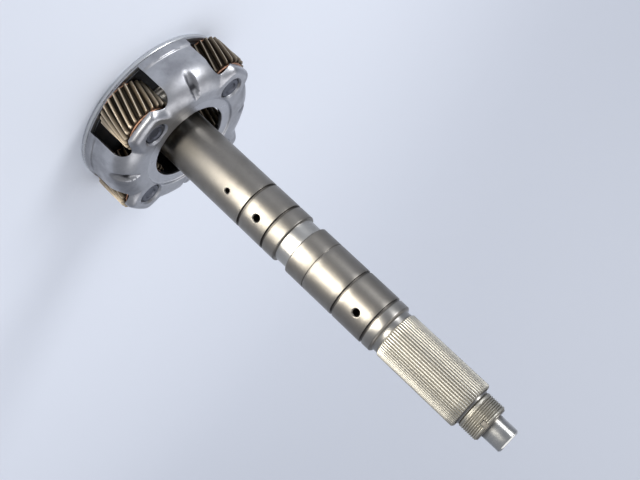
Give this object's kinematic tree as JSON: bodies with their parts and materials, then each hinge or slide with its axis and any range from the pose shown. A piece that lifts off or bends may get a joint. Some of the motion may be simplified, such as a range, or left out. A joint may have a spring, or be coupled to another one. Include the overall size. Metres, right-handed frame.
{
  "type": "gearbox output shaft",
  "caption": "Stepped, splined gearbox output shaft with a stamped planet carrier on one end that holds helical pinions in open windows.",
  "frame": {"origin": "on the shaft axis at the back face of the carrier, on which the part stands", "axes": "+Z along the shaft towards the pilot end, -Y through the first pinion pin, +X through the second"},
  "size_m": [0.133, 0.133, 0.332],
  "materials": {
    "ground_steel": "ground",
    "stamped_steel": "bright stamped",
    "plate_steel": "satin",
    "gear_steel": "tempered, straw brown",
    "needle_steel": "polished",
    "pin_steel": "ground",
    "bronze": "satin"
  },
  "bodies": {
    "carrier": {"output_shaft": "ground_steel", "carrier_plate": "plate_steel", "carrier_cover": "stamped_steel", "pinion_pin_1": "pin_steel", "pinion_pin_2": "pin_steel", "pinion_pin_3": "pin_steel", "pinion_pin_4": "pin_steel", "front_washer_1": "bronze", "front_washer_2": "bronze", "front_washer_3": "bronze", "front_washer_4": "bronze", "rear_washer_1": "bronze", "rear_washer_2": "bronze", "rear_washer_3": "bronze", "rear_washer_4": "bronze"},
    "planet_1": {"pinion_1": "gear_steel"},
    "needles_1": {"needle_cage_1": "needle_steel"},
    "planet_2": {"pinion_2": "gear_steel"},
    "needles_2": {"needle_cage_2": "needle_steel"},
    "planet_3": {"pinion_3": "gear_steel"},
    "needles_3": {"needle_cage_3": "needle_steel"},
    "planet_4": {"pinion_4": "gear_steel"},
    "needles_4": {"needle_cage_4": "needle_steel"}
  },
  "joints": [
    {"name": "pinion_spin_1", "type": "hinge", "parent": "carrier", "child": "planet_1", "pos_m": [0, -0.0469, 0], "axis": [0, 0, 1], "continuous": true},
    {"name": "needle_spin_1", "type": "hinge", "parent": "carrier", "child": "needles_1", "pos_m": [0, -0.0469, 0], "axis": [0, 0, 1], "continuous": true},
    {"name": "pinion_spin_2", "type": "hinge", "parent": "carrier", "child": "planet_2", "pos_m": [0.0469, 0, 0], "axis": [0, 0, 1], "continuous": true},
    {"name": "needle_spin_2", "type": "hinge", "parent": "carrier", "child": "needles_2", "pos_m": [0.0469, 0, 0], "axis": [0, 0, 1], "continuous": true},
    {"name": "pinion_spin_3", "type": "hinge", "parent": "carrier", "child": "planet_3", "pos_m": [0, 0.0469, 0], "axis": [0, 0, 1], "continuous": true},
    {"name": "needle_spin_3", "type": "hinge", "parent": "carrier", "child": "needles_3", "pos_m": [0, 0.0469, 0], "axis": [0, 0, 1], "continuous": true},
    {"name": "pinion_spin_4", "type": "hinge", "parent": "carrier", "child": "planet_4", "pos_m": [-0.0469, 0, 0], "axis": [0, 0, 1], "continuous": true},
    {"name": "needle_spin_4", "type": "hinge", "parent": "carrier", "child": "needles_4", "pos_m": [-0.0469, 0, 0], "axis": [0, 0, 1], "continuous": true}
  ],
  "couplings": [
    {"joint": "needle_spin_1", "follows": "pinion_spin_1", "ratio": 0.5847},
    {"joint": "needle_spin_2", "follows": "pinion_spin_2", "ratio": 0.5847},
    {"joint": "needle_spin_3", "follows": "pinion_spin_3", "ratio": 0.5847},
    {"joint": "needle_spin_4", "follows": "pinion_spin_4", "ratio": 0.5847}
  ]
}
